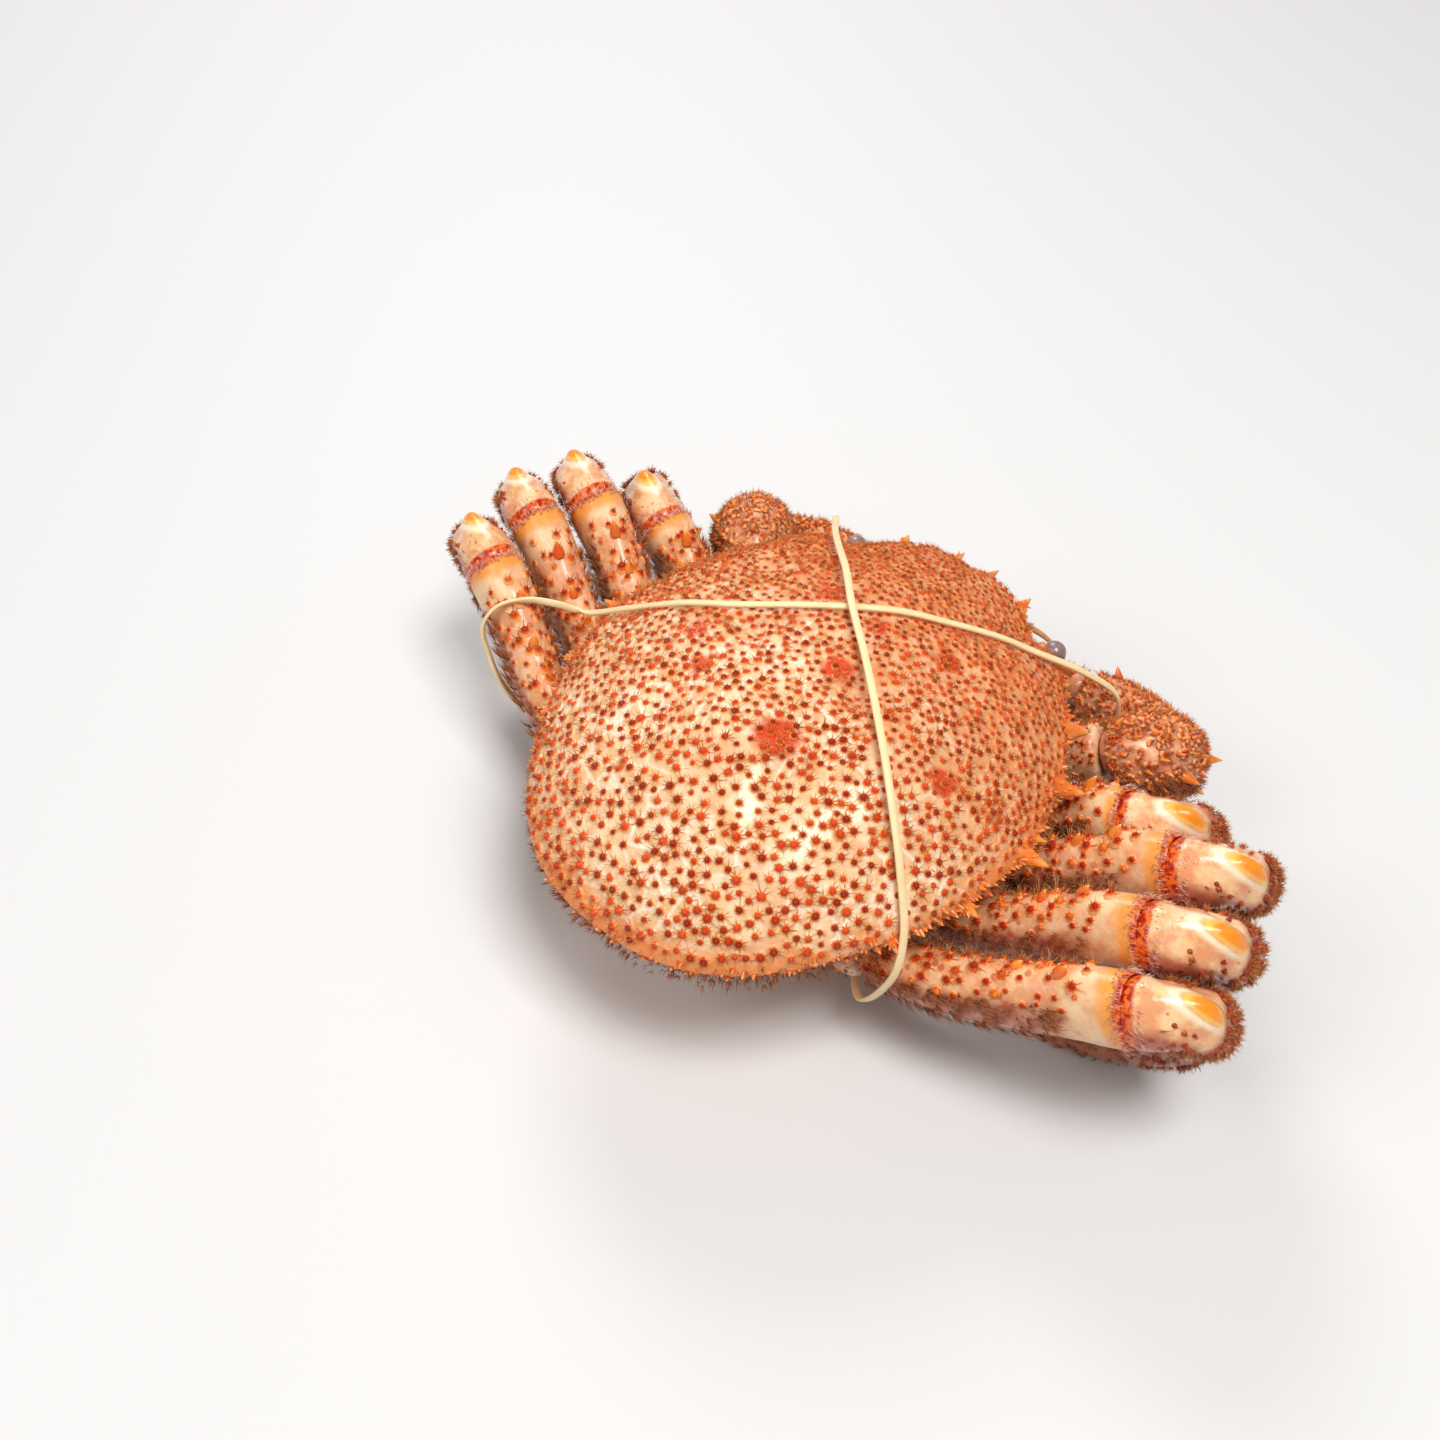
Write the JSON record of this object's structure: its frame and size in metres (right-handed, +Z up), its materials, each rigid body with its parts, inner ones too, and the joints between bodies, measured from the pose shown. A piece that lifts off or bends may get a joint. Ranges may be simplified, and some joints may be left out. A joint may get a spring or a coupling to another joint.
{
  "type": "horsehair crab model",
  "caption": "Life-size model of a boiled horsehair crab at rest, legs folded in and bundled with two crossing rubber bands.",
  "frame": {"origin": "middle of the box around the crab, on the floor under it", "axes": "+X towards the crab's left side, -Y towards its face, +Z up out of its back"},
  "size_m": [0.1728, 0.1169, 0.0582],
  "materials": {
    "back_shell": "wet boiled shell, orange-brown with dark red bristly warts",
    "underside_shell": "smooth pale cream shell",
    "flap_shell": "smooth pale cream shell with cross grooves",
    "eye": "glossy near-black ball on a short stalk",
    "feeler": "orange-brown, ringed",
    "mouth_plate": "orange-brown with short hair",
    "claw_shell": "red-brown granular shell with orange spines and short hair",
    "finger_shell": "dark brown glossy finger",
    "leg_merus_shell": "cream with red granules and brown bristles, crimson rim at the knee",
    "leg_carpus_shell": "cream and orange dome",
    "leg_propodus_shell": "maroon-brown with bristles",
    "leg_dactylus_shell": "dark red-brown hairy end claw",
    "band_rubber": "pale cream rubber, flat"
  },
  "bodies": {
    "root": {"carapace": "back_shell", "body_underside": "underside_shell", "abdomen_flap": "flap_shell", "left_eye": "eye", "left_antenna": "feeler", "left_mouth_plate": "mouth_plate", "left_claw_arm": "claw_shell", "left_claw_wrist": "claw_shell", "left_claw_hand": "claw_shell", "left_claw_finger": "finger_shell", "right_eye": "eye", "right_antenna": "feeler", "right_mouth_plate": "mouth_plate", "right_claw_arm": "claw_shell", "right_claw_wrist": "claw_shell", "right_claw_hand": "claw_shell", "right_claw_finger": "finger_shell", "left_leg_1_merus": "leg_merus_shell", "left_leg_1_carpus": "leg_carpus_shell", "left_leg_1_propodus": "leg_propodus_shell", "left_leg_1_dactylus": "leg_dactylus_shell", "left_leg_2_merus": "leg_merus_shell", "left_leg_2_carpus": "leg_carpus_shell", "left_leg_2_propodus": "leg_propodus_shell", "left_leg_2_dactylus": "leg_dactylus_shell", "left_leg_3_merus": "leg_merus_shell", "left_leg_3_carpus": "leg_carpus_shell", "left_leg_3_propodus": "leg_propodus_shell", "left_leg_3_dactylus": "leg_dactylus_shell", "left_leg_4_merus": "leg_merus_shell", "left_leg_4_carpus": "leg_carpus_shell", "left_leg_4_propodus": "leg_propodus_shell", "left_leg_4_dactylus": "leg_dactylus_shell", "right_leg_1_merus": "leg_merus_shell", "right_leg_1_carpus": "leg_carpus_shell", "right_leg_1_propodus": "leg_propodus_shell", "right_leg_1_dactylus": "leg_dactylus_shell", "right_leg_2_merus": "leg_merus_shell", "right_leg_2_carpus": "leg_carpus_shell", "right_leg_2_propodus": "leg_propodus_shell", "right_leg_2_dactylus": "leg_dactylus_shell", "right_leg_3_merus": "leg_merus_shell", "right_leg_3_carpus": "leg_carpus_shell", "right_leg_3_propodus": "leg_propodus_shell", "right_leg_3_dactylus": "leg_dactylus_shell", "right_leg_4_merus": "leg_merus_shell", "right_leg_4_carpus": "leg_carpus_shell", "right_leg_4_propodus": "leg_propodus_shell", "right_leg_4_dactylus": "leg_dactylus_shell", "rubber_band_long": "band_rubber", "rubber_band_cross": "band_rubber"}
  },
  "joints": []
}
